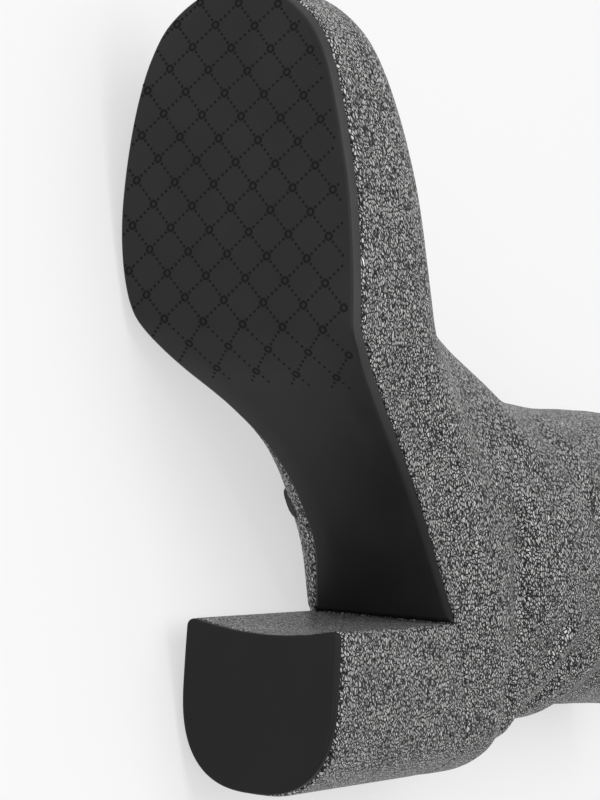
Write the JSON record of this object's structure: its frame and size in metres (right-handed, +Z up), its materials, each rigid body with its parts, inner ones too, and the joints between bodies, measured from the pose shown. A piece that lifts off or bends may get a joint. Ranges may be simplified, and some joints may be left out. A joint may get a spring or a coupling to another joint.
{
  "type": "platform heeled boot",
  "caption": "Left platform boot with a high block heel, a hollow knit upper with a real wall, a footbed, a dark rubber outsole and an inner side zip, lying on its inner side.",
  "frame": {"origin": "centre of the bounding box on the floor, under the boot as it lies on its inner side", "axes": "+Z up through the foot's outer side; +Y from the sole to the collar, along the shaft; -X towards the toe. The boot rests on the inner edge of the sole and on the inner side of the shaft, so its length is turned by 12.6 degrees from X."},
  "size_m": [0.2508, 0.2712, 0.0866],
  "materials": {
    "silver_black_knit": "glittering knit of silver and black yarn",
    "sole_rubber": "matt moulded rubber",
    "lift_rubber": "matt hard rubber",
    "footbed_leather": "matt lining leather",
    "zip_black": "woven tape with moulded teeth",
    "zip_metal": "satin gunmetal"
  },
  "bodies": {
    "boot": {"upper": "silver_black_knit", "platform": "silver_black_knit", "outsole": "sole_rubber", "heel_block": "silver_black_knit", "top_lift": "lift_rubber", "insole": "footbed_leather", "zip_tape": "zip_black", "zip_slider": "zip_metal"},
    "pull": {"zip_pull": "zip_metal"}
  },
  "joints": [
    {"name": "pull_swing", "type": "hinge", "parent": "boot", "child": "pull", "pos_m": [0.01799, 0.12148, 0.0111], "axis": [-0.7984, -0.0041, 0.6021], "range_deg": [-130, 40]}
  ]
}
